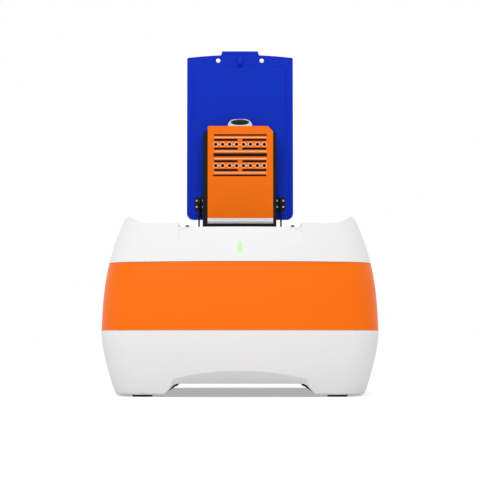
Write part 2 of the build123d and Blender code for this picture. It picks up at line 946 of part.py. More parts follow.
def cart_middle():
    """Middle of the cartridge's thickness."""
    return (cart_front + cart_y_back()) / 2


def cart_grooves():
    """Guide grooves in the two edges of the cartridge."""
    x0 = cart_x - cart_width / 2
    x1 = cart_x + cart_width / 2
    y0 = cart_middle() - groove_width / 2
    y1 = cart_middle() + groove_width / 2
    low = cart_bottom - past
    left = block(x0 - past, x0 + groove_depth, y0, y1, low, holder_top - groove_stop)
    return left + block(x1 - groove_depth, x1 + past, y0, y1, low, holder_top - groove_stop)


def make_cartridge_label():
    """Coloured front plate of the cartridge, cut out over every window."""
    label = prism_y(cart_outline(cart_bottom + label_foot), cart_front, cart_front + label_sheet)
    for cutter in label_cuts(cart_front - past, cart_front + label_sheet + past):
        label -= cutter
    return label


def make_cartridge_foot():
    """White lower end of the cartridge with a seat for its seal strip."""
    x0 = cart_x - cart_width / 2
    x1 = cart_x + cart_width / 2
    foot = block(x0, x1, cart_front, cart_y_back(), cart_bottom, cart_bottom + label_foot)
    return foot - cart_grooves() - seal_strip(seal_depth + seal_clear)


def seal_strip(depth):
    """Strip across the foot's front, depth deep."""
    x0 = cart_x - cart_width / 2
    x1 = cart_x + cart_width / 2
    return block(x0, x1, cart_front, cart_front + depth, cart_bottom + seal_high, cart_bottom + seal_low)


def holder_room():
    """Space for the cartridge inside the holder, open to the front and upwards."""
    x0 = cart_x - cart_width / 2 - holder_gap
    x1 = cart_x + cart_width / 2 + holder_gap
    return block(x0, x1, cart_front - past, holder_plate_y(), cart_bottom - holder_gap, holder_top + past)


def holder_plate_y():
    """Front of the holder's back plate, which the lever's head shares."""
    return cart_y_back() + back_gap


def rail_tongues():
    """Tongues on the rails that run in the cartridge's grooves."""
    x0 = cart_x - cart_width / 2 - holder_gap
    x1 = cart_x + cart_width / 2 + holder_gap
    reach = groove_depth - tongue_gap + holder_gap
    y0 = cart_middle() - groove_width / 2 + holder_gap
    y1 = cart_middle() + groove_width / 2 - holder_gap
    low = cart_bottom - holder_gap
    top = holder_top - rail_tip
    return block(x0, x0 + reach, y0, y1, low, top) + block(x1 - reach, x1, y0, y1, low, top)


def holder_lug():
    """Lug that joins the holder's foot to the hinge shaft."""
    outline = [(cart_front, holder_bottom + lug_rise), (cart_front + lug_rise, holder_bottom - lug_drop),
               (axis_y - lug_throat, axis_z - lug_toe), (axis_y, axis_z - boss_radius),
               (axis_y + lug_rise, axis_z + boss_radius - lug_shave),
               (holder_plate_y() + back_sheet, holder_bottom + lug_crown)]
    plate = prism_x(outline, lug_inner, lug_inner + lug_thick)
    return plate + rod_along_x(boss_radius, lug_inner, lug_inner + lug_thick, axis_y, axis_z)


def make_cartridge_holder():
    """U-shaped frame: back plate, two rails with tongues, a foot and two lugs on the shaft."""
    y_back = holder_plate_y() + back_sheet
    left = cart_x - cart_width / 2 - holder_gap - left_rail
    right = cart_x + cart_width / 2 + holder_gap + right_rail
    c = rail_chamfer
    outline = [(left, holder_bottom), (right, holder_bottom), (right, holder_top - c),
               (right - c, holder_top), (left + c, holder_top), (left, holder_top - c)]
    body = prism_y(outline, cart_front, y_back)
    for lug in both_sides(holder_lug()):
        body += lug
    body -= holder_room()
    body += rail_tongues()
    middle = (holder_bottom + holder_top) / 2
    body -= plate(cart_x, middle, window_cut, window_cut, holder_plate_y() - past, y_back + past)
    inner = lever_tail_half + ear_gap
    ear = block(inner, inner + ear_thick, y_back, pin_y + ear_reach, pin_z - ear_half, pin_z + ear_half)
    for side in both_sides(ear):
        body += side
    reach = inner + ear_thick + past
    body -= rod_along_x(pin_radius + run_gap, -reach, reach, pin_y, pin_z)
    return body - shaft_bore(block_outer)


def make_hinge_shaft():
    """Shaft through the bearing blocks, the clutch, the arms and the holder's lugs."""
    reach = block_outer - shaft_end
    shaft = rod_along_x(shaft_radius, -reach, reach, axis_y, axis_z)
    return chamfer(shaft.edges().filter_by(GeomType.CIRCLE), shaft_end)


def make_lever_pin():
    """Pin of the release lever, held in the holder's ears."""
    reach = lever_tail_half + ear_gap + ear_thick
    return rod_along_x(pin_radius, -reach, reach, pin_y, pin_z)


def make_release_lever():
    """Lever with a rounded head behind the cartridge's top edge and a tail down to its pin."""
    low = holder_top + lever_lift
    r = lever_round
    head = block(-lever_half, lever_half, holder_plate_y(), holder_plate_y() + lever_depth, low, lever_top)
    head = fillet(head.edges().filter_by(Axis.Y).group_by(Axis.Z)[-1], r)
    y0 = holder_plate_y()
    rise = lever_top - lever_slope_z
    slope = [(y0 - past, lever_slope_z - past), (y0 + rise + past, lever_top + past),
             (y0 - past, lever_top + past)]
    head -= prism_x(slope, -lever_half - past, lever_half + past)
    half = lever_tail_half
    y0 = pin_y - lever_sheet / 2
    tail = block(-half, half, y0, y0 + lever_sheet, pin_z - lever_heel, low + lever_sheet)
    tail += rod_along_x(lever_boss, -half, half, pin_y, pin_z)
    lever = head + tail - rod_along_x(pin_radius + run_gap, -lever_half, lever_half, pin_y, pin_z)
    return lever - pad_solid(pad_width / 2 + pad_clear, pad_height / 2 + pad_clear, pad_sink + past)


def pad_solid(half_x, half_y, height):
    """Oval of the finger pad, sunk into the lever's slope."""
    slope = Plane(origin=(0, holder_plate_y(), lever_slope_z), x_dir=(1, 0, 0), z_dir=(0, -1, 1))
    oval = Pos(0, pad_height / 2 + pad_margin, 0) * Ellipse(half_x, half_y)
    return extrude(slope.offset(-pad_sink) * oval, amount=height)


def make_lever_pad():
    """Soft finger pad of the release lever."""
    return pad_solid(pad_width / 2, pad_height / 2, pad_sink + pad_proud)


# Bay, optics and scan stage

def window_area(margin, z0, z1):
    """Area of the reading window, grown by a margin."""
    x = window_half + margin
    return block(-x, x, window_front - margin, window_rear + margin, z0, z1)


def make_bay_tub():
    """Light-tight tub below the deck, with a window in its floor."""
    half = bay_half + tub_clear
    front = bay_front - tub_clear
    rear = slot_rear + tub_clear
    t = tub_wall
    tub = block(-half - t, half + t, front - t, rear + t, bay_floor - t, deck_bottom)
    tub -= block(-half, half, front, rear, bay_floor, deck_bottom + past)
    tub -= window_area(0, bay_floor - t - past, bay_floor + past)
    return tub - window_area(window_seat, bay_floor - window_sheet, bay_floor + past)


def make_read_window():
    """Glass through which the optics read the cartridge."""
    return window_area(window_seat - window_clear, bay_floor - window_sheet, bay_floor)


def make_deck_magnets():
    """Magnets in the deck that hold the lid's catches."""
    return [rod_along_z(magnet_radius, x, y, ledge_z - magnet_depth, ledge_z) for x, y in catch_spots()]


def make_lid_bumpers():
    """Rubber buttons on the deck below the lid's front corners."""
    height = axis_z - lid_face - ledge_z - bumper_gap
    y = closed_y(lid_corner_z - bumper_inset)
    bumpers = []
    for x in (-bumper_x, bumper_x):
        bumper = rod_along_z(bumper_radius, x, y, ledge_z, ledge_z + height)
        bumpers.append(chamfer(bumper.edges().group_by(Axis.Z)[-1], bumper_round))
    return bumpers


def make_lid_switch():
    """Interlock switch below the deck, with a slot for the lid's tongue."""
    y0 = closed_y(tongue_high) - switch_margin
    y1 = closed_y(tongue_low) + switch_margin
    body = block(-switch_half, switch_half, y0, y1, deck_bottom - switch_height, deck_bottom)
    return body - tongue_slot(deck_bottom - switch_height + tub_wall, deck_bottom + past)


def make_status_light(outer, inner):
    """Light pipe flush with the front wall, reaching in to its board."""
    rear = face_front(inner, light_low) + light_depth
    half = half_width
    return light_bar(0) & outer & block(-half, half, -front_reach, rear, 0, shoulder_top)


def make_light_board(inner):
    """Small board behind the light pipe, with two posts that reach the front wall."""
    y = face_front(inner, light_low) + light_depth
    low = light_low - board_drop
    board = block(-light_board_half, light_board_half, y, y + board_sheet, low, light_high - board_drop / 2)
    front = face_front(inner, light_low - post_low) + holder_gap
    x0 = light_board_half - post_low - light_post
    post = block(x0, x0 + light_post, front, y, low, low + light_post)
    for side in both_sides(post):
        board += side
    return board


def rod_bores(radius):
    """Two parallel bores for the guide rods."""
    left = rod_along_y(radius, -rod_x, bench_front - past, bench_rear + past, rod_z)
    return left + mirror(left, about=Plane.YZ)


def screw_bore():
    """Running bore for the drive screw."""
    return rod_along_y(screw_drive_radius + run_gap, 0, bench_front - past, bench_rear + past, rod_z)


def make_optics_bench():
    """U-shaped bench on the base pan: a sheet with an open end wall at each end."""
    seat = arch_top + pan_sheet
    bench = block(-bench_half, bench_half, bench_front, bench_rear, seat, seat + bench_sheet)
    for y in (bench_front, bench_rear - bench_wall):
        bench += block(-bench_half, bench_half, y, y + bench_wall, seat, bench_top)
    x = bench_half - bench_leg
    opening_low = seat + bench_sheet + bench_sill
    bench -= block(-x, x, bench_front - past, bench_rear + past, opening_low, bench_top - bench_head)
    return bench - rod_bores(rod_radius) - screw_bore()


def make_guide_rods():
    """Two rods that the carriage runs on."""
    return [rod_along_y(rod_radius, x, bench_front, bench_rear, rod_z) for x in (-rod_x, rod_x)]


def make_lead_screw():
    """Drive screw, which ends in the motor."""
    return rod_along_y(screw_drive_radius, 0, bench_front, bench_rear + screw_grip, rod_z)


def make_scan_motor():
    """Stepper motor on the bench's rear wall."""
    half = motor_size / 2
    body = block(-half, half, bench_rear, bench_rear + motor_length, rod_z - half, rod_z + half)
    body = chamfer(body.edges().filter_by(Axis.Y), motor_chamfer)
    end = bench_rear + screw_grip + past
    return body - rod_along_y(screw_drive_radius + screw_room, 0, bench_rear - past, end, rod_z)


def make_scan_carriage():
    """Carriage on the rods, driven by the screw."""
    y0 = carriage_y - carriage_half_y
    y1 = carriage_y + carriage_half_y
    body = block(-carriage_half_x, carriage_half_x, y0, y1, carriage_low, carriage_top)
    body = chamfer(body.edges().filter_by(Axis.Y), edge_break)
    return body - rod_bores(rod_radius + run_gap) - screw_bore()


def make_objective():
    """Stepped lens barrel that looks up through the bay's window."""
    step = lens_top - lens_nose
    barrel = rod_along_z(lens_radius, 0, carriage_y, carriage_top, step)
    barrel += rod_along_z(lens_radius - lens_shoulder, 0, carriage_y, step, lens_top)
    barrel = chamfer(barrel.edges().group_by(Axis.Z)[-1], edge_break / 2)
    return barrel - rod_along_z(lens_glass, 0, carriage_y, lens_top - lens_seat, lens_top + past)


def make_objective_lens():
    """Front lens, seated in the barrel."""
    low = lens_top - lens_seat
    cap = rod_along_z(lens_glass - run_gap, 0, carriage_y, low, low + lens_sheet)
    return chamfer(cap.edges().group_by(Axis.Z)[-1], lens_sheet / 2)


def make_laser_module():
    """Light source under the carriage, with cooling slots in its side."""
    half = laser_depth / 2
    body = block(*laser_x, carriage_y - half, carriage_y + half, laser_low, carriage_low)
    body = chamfer(body.edges().filter_by(Axis.Z), edge_break)
    for i in range(fin_count):
        z = laser_low + (i + 1) * fin_pitch
        y0 = carriage_y - half - past
        y1 = carriage_y + half + past
        body -= block(laser_x[0] - past, laser_x[0] + fin_depth, y0, y1, z, z + fin_pitch / 2)
    return body


def make_photodetector():
    """Detector tube under the carriage."""
    tube = rod_along_z(detector_radius, detector_x, carriage_y, laser_low + fin_pitch, carriage_low)
    return chamfer(tube.edges().group_by(Axis.Z)[0], edge_break / 2)


def make_valve_manifold():
    """Block under the bay that the valves sit on."""
    top = bay_floor - tub_wall
    body = block(-manifold_half, manifold_half, manifold_front, manifold_rear, manifold_low, top)
    return chamfer(body.edges().filter_by(Axis.Z), edge_break)


def make_valves():
    """Row of valves on the manifold's front."""
    first = -manifold_half + valve_inset
    pitch = -2 * first / (valve_count - 1)
    z = (manifold_low + bay_floor - tub_wall) / 2
    y0 = manifold_front - valve_drop
    return [rod_along_y(valve_radius, first + i * pitch, y0, manifold_front, z) for i in range(valve_count)]


def make_power_supply():
    """Boxed power supply with vent slots in its lid."""
    seat = shell_bottom + wall
    top = seat + supply_height
    box = block(*supply_x, *supply_y, seat, top)
    pitch = (supply_y[1] - supply_y[0]) / (vent_count + 1)
    x0 = supply_x[0] + vent_width
    x1 = supply_x[1] - vent_width
    for i in range(vent_count):
        y = supply_y[0] + (i + 1) * pitch
        box -= block(x0, x1, y - vent_width / 2, y + vent_width / 2, top - edge_break, top + past)
    return box


def make_air_pump():
    """Small diaphragm pump: a base, a motor drum and a square head."""
    seat = shell_bottom + wall
    r = pump_radius
    z = seat + r + edge_break
    front = pump_y - pump_length / 2
    rear = pump_y + pump_length / 2
    base = block(pump_x - r, pump_x + r, front + pump_overhang, rear, seat, seat + pump_foot)
    drum = rod_along_y(r, pump_x, front, rear - pump_head, z)
    head = block(pump_x - r, pump_x + r, rear - pump_head, rear, seat, z + r)
    return base + drum + chamfer(head.edges().filter_by(Axis.Y).group_by(Axis.Z)[-1], 2 * edge_break)


def board_posts():
    """Places of the posts under the main board."""
    xs = (board_x[0] + post_inset, board_x[1] - post_inset)
    ys = (board_y[0] + post_inset, (board_y[0] + board_y[1]) / 2, board_y[1] - post_inset)
    return [(x, y) for x in xs for y in ys]


def make_main_board():
    """Controller board with its larger components."""
    z = shell_bottom + wall + post_height
    board = block(*board_x, *board_y, z, z + board_sheet)
    middle_x = (board_x[0] + board_x[1]) / 2
    middle_y = (board_y[0] + board_y[1]) / 2
    z += board_sheet
    for dx, dy, width, depth, height in board_chips:
        x = middle_x + dx
        y = middle_y + dy
        board += block(x - width / 2, x + width / 2, y - depth / 2, y + depth / 2, z, z + height)
    return board


def make_board_posts():
    """Posts that carry the main board."""
    seat = shell_bottom + wall
    return [rod_along_z(post_radius, x, y, seat, seat + post_height) for x, y in board_posts()]


# Rear panel

def fan_rod(radius, y0, y1):
    """Round bar on the fan's axis."""
    return rod_along_y(radius, fan_x, y0, y1, fan_z)


def grille():
    """Ring slots over the fan, bridged by a cross of spokes."""
    y0 = panel_face - panel_sheet - past
    y1 = panel_face + past
    slots = []
    for radius in grille_rings:
        slot = fan_rod(radius + grille_slot / 2, y0, y1)
        slot -= fan_rod(radius - grille_slot / 2, y0 - past, y1 + past)
        for turn in (45, 135):
            spoke = Box(2 * fan_size, 4 * panel_sheet, grille_spoke)
            slot -= Pos(fan_x, panel_face, fan_z) * Rot(0, turn, 0) * spoke
        slots.append(slot)
    return slots


def make_rear_panel():
    """Panel behind the rear recess, with openings for the fan and the connectors."""
    y0 = panel_face - panel_sheet
    panel = block(-panel_half, panel_half, y0, panel_face, panel_low, panel_high)
    for slot in grille():
        panel -= slot
    panel -= prism_y(inlet_outline(0), y0 - past, panel_face + past)
    panel -= port_hole(rocker_x, row_z, rocker_width + 2 * rocker_frame, rocker_height + 2 * rocker_frame)
    for x in usb_x:
        panel -= port_hole(x, row_z, usb_width, usb_height)
    panel -= port_hole(net_x, row_z, net_width, usb_height)
    for x, z in panel_screw_spots():
        panel -= rod_along_y(panel_screw + screw_clear, x, y0 - past, panel_face + past, z)
    return panel


def port_hole(x, z, width, height):
    """Rectangular cut through the rear panel."""
    y0 = panel_face - panel_sheet - past
    return block(x - width / 2, x + width / 2, y0, panel_face + past, z - height / 2, z + height / 2)


def panel_screw_spots():
    """Places of the rear panel's corner screws."""
    half = port_half - panel_screw_inset
    heights = (port_low + panel_screw_inset, port_high - panel_screw_inset)
    return [(x, z) for x in (-half, half) for z in heights]


def make_panel_screws():
    """Corner screws of the rear panel."""
    screws = []
    for x, z in panel_screw_spots():
        head = rod_along_y(2 * panel_screw, x, panel_face, panel_face + panel_screw, z)
        head = chamfer(head.edges().group_by(Axis.Y)[-1], panel_screw / 2)
        screws.append(head + rod_along_y(panel_screw, x, panel_face - 2 * panel_sheet, panel_face, z))
    return screws


def inlet_outline(shrink):
    """Outline of the power inlet, with its two upper corners cut."""
    w = inlet_width / 2 - shrink
    h = inlet_height / 2 - shrink
    return [(inlet_x - w, row_z - h), (inlet_x + w, row_z - h), (inlet_x + w, row_z + h - inlet_cut),
            (inlet_x + w - inlet_cut, row_z + h), (inlet_x - w + inlet_cut, row_z + h),
            (inlet_x - w, row_z + h - inlet_cut)]


def make_power_inlet():
    """Three-pin appliance inlet with its flange on the panel."""
    y0 = panel_face - panel_sheet - inlet_depth
    y1 = panel_face + edge_break
    shell = prism_y(inlet_outline(port_clear), panel_face - panel_sheet, panel_face)
    rim = 2 * inlet_flange
    shell += plate(inlet_x, row_z, inlet_width + rim, inlet_height + rim, panel_face, y1)
    shell += plate(inlet_x, row_z, inlet_width - past, inlet_height - past, y0, panel_face - panel_sheet)
    return shell - prism_y(inlet_outline(inlet_wall), y0 + inlet_floor, panel_face + inlet_flange)


def make_inlet_pins():
    """Contact pins of the power inlet."""
    y0 = panel_face - panel_sheet - inlet_depth + inlet_floor
    pins = []
    for dx, dz in inlet_pin_spots:
        pins.append(plate(inlet_x + dx, row_z + dz, pin_width, 2 * pin_width, y0, y0 + pin_length))
    return pins


def make_switch_frame():
    """Frame that the power rocker tilts in."""
    y0 = panel_face - panel_sheet - switch_depth
    side = 2 * (rocker_frame - port_clear)
    frame = plate(rocker_x, row_z, rocker_width + side, rocker_height + side, y0, panel_face)
    rim = 2 * rocker_rim
    y1 = panel_face + rocker_proud
    frame += plate(rocker_x, row_z, rocker_width + rim, rocker_height + rim, panel_face, y1)
    room = 2 * rocker_gap
    y1 += past
    frame -= plate(rocker_x, row_z, rocker_width + room, rocker_height + room, y0 + inlet_floor, y1)
    return frame - trunnions(run_gap)


def trunnions(grow):
    """Stubs that the rocker turns on, grown for their holes."""
    reach = rocker_width / 2 + trunnion_reach + grow
    y = panel_face - rocker_sink
    return rod_along_x(trunnion_radius + grow, rocker_x - reach, rocker_x + reach, y, row_z)


def make_power_rocker():
    """Rocker with a shallow V face, resting with its lower half pressed in."""
    h = rocker_height / 2 - rocker_gap
    lean = math.radians(rocker_tilt)
    brim = rocker_crest + h * math.tan(lean)
    y = panel_face - rocker_sink
    points = []
    for u, v in ((-h, brim), (0.0, rocker_crest), (h, brim), (h, rocker_belly), (rocker_toe, rocker_keel),
                 (-rocker_toe, rocker_keel), (-h, rocker_belly)):
        across = v * math.cos(lean) + u * math.sin(lean)
        points.append((y + across, row_z + u * math.cos(lean) - v * math.sin(lean)))
    body = prism_x(points, rocker_x - rocker_width / 2, rocker_x + rocker_width / 2)
    return body + trunnions(0)


def make_data_ports():
    """Shells of the two USB ports and the network port, open to the rear."""
    ports = []
    y0 = panel_face - panel_sheet - port_depth
    height = usb_height - 2 * port_clear
    for x, opening in ((usb_x[0], usb_width), (usb_x[1], usb_width), (net_x, net_width)):
        width = opening - 2 * port_clear
        shell = plate(x, row_z, width, height, y0, panel_face)
        inner_width = width - 2 * port_sheet
        inner_height = height - 2 * port_sheet
        ports.append(shell - plate(x, row_z, inner_width, inner_height, y0 + port_back, panel_face + past))
    return ports


def make_fan_frame():
    """Square fan housing with a hub on four arms."""
    y1 = panel_face - panel_sheet
    y0 = y1 - fan_depth
    frame = plate(fan_x, fan_z, fan_size, fan_size, y0, y1)
    frame = fillet(frame.edges().filter_by(Axis.Y), fan_corner) - fan_rod(fan_bore, y0 - past, y1 + past)
    frame += fan_rod(fan_hub, y0, y0 + fan_arm)
    arm = Pos((fan_hub + fan_bore) / 2, fan_arm / 2, 0) * Box(fan_bore - fan_hub + fan_arm, fan_arm, fan_arm)
    for turn in (0, 90, 180, 270):
        frame += Pos(fan_x, y0, fan_z) * Rot(0, turn, 0) * arm
    return frame + fan_rod(fan_pin, y0 + fan_arm, y1 - fan_pin_stop)


def make_fan_rotor():
    """Hub and blades, turning on the frame's pin."""
    y0 = panel_face - panel_sheet - fan_depth + fan_arm + rotor_gap
    y1 = panel_face - panel_sheet - rotor_stop
    rotor = fan_rod(fan_hub, y0, y1)
    span = blade_tip - fan_hub + past
    blade = Rot(blade_pitch, 0, 0) * Box(span, blade_chord, blade_sheet)
    blade = Pos(fan_hub - past + span / 2, 0, 0) * blade
    for i in range(blade_count):
        rotor += Pos(fan_x, (y0 + y1) / 2, fan_z) * Rot(0, i * 360 / blade_count, 0) * blade
    rotor &= fan_rod(blade_tip, y0, y1)
    end = panel_face - panel_sheet - fan_pin_stop + screw_clear
    return rotor - fan_rod(fan_pin + run_gap, y0 - past, end)


def main():
    """Make every piece and write it to its file."""
    upper_outer = upper_body(0)
    upper_inner = upper_body(wall)
    lower_outer = lower_body(0)
    lower_inner = lower_body(wall)
    lower_outer = fillet(lower_outer.faces().sort_by(Axis.Z)[0].edges(), bottom_round)
    save("upper_cover", make_upper_cover(upper_outer, upper_inner))
    save("mid_band", make_mid_band(upper_outer, upper_inner))
    save("lower_cover", make_lower_cover(lower_outer, lower_inner))
    save("base_pan", make_base_pan())
    save("feet", *make_feet())
    save("hinge_cover", make_hinge_cover())
    save("bearing_blocks", *make_bearing_blocks())
    save("friction_clutch", make_friction_clutch())
    save("deck_magnets", *make_deck_magnets())
    save("lid_bumpers", *make_lid_bumpers())
    save("lid_switch", make_lid_switch())
    save("bay_tub", make_bay_tub())
    save("read_window", make_read_window())
    save("status_light", make_status_light(upper_outer, upper_inner))
    save("light_board", make_light_board(upper_inner))
    save("optics_bench", make_optics_bench())
    save("guide_rods", *make_guide_rods())
    save("scan_motor", make_scan_motor())
    save("valve_manifold", make_valve_manifold())
    save("valves", *make_valves())
    save("power_supply", make_power_supply())
    save("air_pump", make_air_pump())
    save("main_board", make_main_board())
    save("board_posts", *make_board_posts())
    save("rear_panel", make_rear_panel())
    save("panel_screws", *make_panel_screws())
    save("power_inlet", make_power_inlet())
    save("inlet_pins", *make_inlet_pins())
    save("switch_frame", make_switch_frame())
    save("data_ports", *make_data_ports())
    save("fan_frame", make_fan_frame())
    save("lid_shell", make_lid_shell())
    save("lid_liner", make_lid_liner())
    save("hinge_arms", *make_hinge_arms())
    save("arm_screws", *make_arm_screws())
    save("lid_catches", *make_lid_catches())
    save("lid_tongue", make_lid_tongue())
    save("cartridge_holder", make_cartridge_holder())
    save("hinge_shaft", make_hinge_shaft())
    save("lever_pin", make_lever_pin())
    save("release_lever", make_release_lever())
    save("lever_pad", make_lever_pad())
    save("cartridge_body", make_cartridge_body())
    save("cartridge_label", make_cartridge_label())
    save("cartridge_foot", make_cartridge_foot())
    save("cartridge_seal", seal_strip(seal_depth))
    save("scan_carriage", make_scan_carriage())
    save("objective", make_objective())
    save("objective_lens", make_objective_lens())
    save("laser_module", make_laser_module())
    save("photodetector", make_photodetector())
    save("lead_screw", make_lead_screw())
    save("power_rocker", make_power_rocker())
    save("fan_rotor", make_fan_rotor())


main()
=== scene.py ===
"""Looks of the bench immunoassay analyzer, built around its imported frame."""

import json
import math

import bmesh
import bpy
from mathutils import Matrix, Vector

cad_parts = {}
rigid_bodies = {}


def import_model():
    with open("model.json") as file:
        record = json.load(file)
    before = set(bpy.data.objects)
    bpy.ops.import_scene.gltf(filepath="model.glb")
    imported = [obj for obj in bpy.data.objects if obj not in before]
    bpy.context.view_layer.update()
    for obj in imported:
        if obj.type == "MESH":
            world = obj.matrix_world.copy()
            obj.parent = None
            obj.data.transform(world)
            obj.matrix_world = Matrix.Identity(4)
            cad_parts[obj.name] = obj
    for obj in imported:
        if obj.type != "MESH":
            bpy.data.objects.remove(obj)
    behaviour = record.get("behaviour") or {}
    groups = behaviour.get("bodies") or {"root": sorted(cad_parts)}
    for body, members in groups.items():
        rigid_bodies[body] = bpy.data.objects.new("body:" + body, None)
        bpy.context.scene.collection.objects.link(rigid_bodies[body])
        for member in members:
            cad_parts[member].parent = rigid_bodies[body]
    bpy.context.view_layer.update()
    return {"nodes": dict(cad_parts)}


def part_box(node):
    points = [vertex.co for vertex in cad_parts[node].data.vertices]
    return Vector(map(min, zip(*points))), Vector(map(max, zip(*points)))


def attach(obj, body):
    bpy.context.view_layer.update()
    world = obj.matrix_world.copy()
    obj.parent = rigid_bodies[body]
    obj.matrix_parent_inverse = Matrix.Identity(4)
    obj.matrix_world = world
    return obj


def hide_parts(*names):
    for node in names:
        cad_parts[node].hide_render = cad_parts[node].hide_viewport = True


bl_info = {
    "name": "Bench analyzer",
    "version": (1, 0, 0),
    "blender": (4, 5, 0),
    "location": "View3D > Sidebar > Analyzer",
    "description": "Dresses the analyzer's frame with finishes, small parts, light and camera",
    "category": "Add Mesh",
}

for thing in list(bpy.data.objects):
    bpy.data.objects.remove(thing)
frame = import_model()
MM = 0.001
MERGE = 0.002 * MM


def tone(red, green, blue):
    """Linear colour of a display colour given in 0 to 255."""
    shares = (value / 255 for value in (red, green, blue))
    return tuple(s / 12.92 if s <= 0.04045 else ((s + 0.055) / 1.055) ** 2.4 for s in shares)


def dimmed(colour, share):
    """A colour at a share of its strength."""
    return tuple(value * share for value in colour)


WHITE = (1.0, 1.0, 1.0, 1.0)
SATIN_BLACK = (0.012, 0.012, 0.013)
BRASS = (0.75, 0.56, 0.25)


# Shader graphs


class Field:
    """A node's output with arithmetic, so that patterns read as formulas."""

    def __init__(self, graph, socket):
        self.graph = graph
        self.socket = socket

    def _math(self, operation, other):
        return self.graph.node("ShaderNodeMath", {"operation": operation}, {0: self, 1: other})

    def __add__(self, other):
        return self._math("ADD", other)

    def __mul__(self, other):
        return self._math("MULTIPLY", other)

    __radd__ = __add__
    __rmul__ = __mul__

    def either(self, other):
        """Mask that is on where this one or the other is."""
        return self._math("MAXIMUM", other)


class Graph:
    """The nodes of one material or world."""

    def __init__(self, owner):
        owner.use_nodes = True
        self.owner = owner
        self.tree = owner.node_tree
        self.tree.nodes.clear()

    def node(self, kind, settings, inputs, output=0):
        """Add a node, set it, fill its sockets and return one of its outputs."""
        made = self.tree.nodes.new(kind)
        for key, value in settings.items():
            setattr(made, key, value)
        for key, value in inputs.items():
            if isinstance(value, Field):
                self.tree.links.new(value.socket, made.inputs[key])
            else:
                made.inputs[key].default_value = value
        return Field(self, made.outputs[output]) if len(made.outputs) else None

    def place(self, stretch=(1.0, 1.0, 1.0)):
        """Object coordinates in metres, scaled along each axis."""
        own = self.node("ShaderNodeTexCoord", {}, {}, "Object")
        return self.node("ShaderNodeMapping", {}, {"Vector": own, "Scale": stretch})

    def noise(self, scale, detail=2.0, stretch=(1.0, 1.0, 1.0)):
        """Noise with features of about 1/scale metres, drawn out along an axis whose stretch is small."""
        inputs = {"Vector": self.place(stretch), "Scale": scale, "Detail": detail}
        return self.node("ShaderNodeTexNoise", {}, inputs)

    def blend(self, share, first, second):
        """Colour between two colours: a Mix node's colour pair is at 6 and 7, its colour output at 2."""
        inputs = {0: share, 6: (*first, 1.0), 7: (*second, 1.0)}
        return self.node("ShaderNodeMix", {"data_type": "RGBA"}, inputs, 2)

    def bump(self, height, depth):
        """Normal of a relief whose height runs from 0 to 1 over depth metres."""
        return self.node("ShaderNodeBump", {}, {"Height": height, "Distance": depth})

    def ray(self, kind):
        """Mask that is on for camera, glossy or transmission rays."""
        return self.node("ShaderNodeLightPath", {}, {}, f"Is {kind} Ray")

    def surface(self, **sockets):
        """End the graph in a Principled shader, with underscores for spaces in socket names."""
        inputs = {key.replace("_", " "): value for key, value in sockets.items()}
        shader = self.node("ShaderNodeBsdfPrincipled", {}, inputs)
        self.node("ShaderNodeOutputMaterial", {}, {"Surface": shader})
        return self.owner


def material(name):
    """Empty graph of a new material."""
    return Graph(bpy.data.materials.new(name))


# Finishes


def varied(level, spread, pattern):
    """Level that a pattern moves up and down by a spread."""
    return level - spread + 2 * spread * pattern


def moulded(name, colour, roughness, cloud=0.04, gloss=0.25):
    """Moulded plastic: a fine spark texture, slight clouding of its colour and gloss."""
    g = material(name)
    clouds = g.noise(9.0)
    patches = g.noise(60.0)
    spark = g.noise(1400.0, detail=1.0)
    return g.surface(
        Base_Color=g.blend(clouds, dimmed(colour, 1 - cloud), colour),
        Roughness=varied(roughness, 0.05, patches),
        Normal=g.bump(spark, 0.03 * MM),
        Specular_IOR_Level=gloss,
    )


def coated(name, colour):
    """Powder-coated metal with its fine orange-peel surface."""
    g = material(name)
    shades = g.noise(30.0)
    peel = g.noise(700.0, detail=3.0)
    return g.surface(
        Base_Color=g.blend(shades, dimmed(colour, 0.8), colour),
        Roughness=varied(0.45, 0.08, peel),
        Normal=g.bump(peel, 0.04 * MM),
        Specular_IOR_Level=0.15,
    )


def brushed(name, colour, roughness, along):
    """Metal brushed along one axis (0, 1 or 2)."""
    g = material(name)
    line_stretch = 0.02
    stretch = [1.0, 1.0, 1.0]
    stretch[along] = line_stretch
    lines = g.noise(2600.0, stretch=tuple(stretch))
    return g.surface(
        Base_Color=g.blend(lines, dimmed(colour, 0.82), colour),
        Metallic=1.0,
        Roughness=varied(roughness, 0.06, lines),
        Normal=g.bump(lines, 0.01 * MM),
    )


def blasted(name, colour, roughness):
    """Bead-blasted metal."""
    g = material(name)
    shades = g.noise(20.0)
    beads = g.node("ShaderNodeTexVoronoi", {}, {"Vector": g.place(), "Scale": 1800.0})
    return g.surface(
        Base_Color=g.blend(shades, dimmed(colour, 0.9), colour),
        Metallic=1.0,
        Roughness=varied(roughness, 0.05, beads),
        Normal=g.bump(beads, 0.02 * MM),
    )


def rubber(name, colour):
    """Soft rubber, matt and slightly dusty."""
    g = material(name)
    dust = g.noise(120.0, detail=4.0)
    grain = g.noise(900.0)
    dust_grey = 0.015
    dusty = tuple(value + dust_grey for value in colour)
    return g.surface(
        Base_Color=g.blend(dust, colour, dusty),
        Roughness=varied(0.825, 0.075, dust),
        Normal=g.bump(grain, 0.05 * MM),
        Specular_IOR_Level=0.15,
    )


def window(name):
    """Pale, slightly cloudy glass."""
    g = material(name)
    tint = g.noise(40.0)
    haze = g.noise(300.0)
    clouds = g.noise(25.0)
    return g.surface(
        Base_Color=g.blend(tint, (0.80, 0.90, 0.94), (0.90, 0.95, 0.97)),
        Roughness=varied(0.035, 0.015, haze),
        Alpha=varied(0.4, 0.05, clouds),
        IOR=1.5,
    )


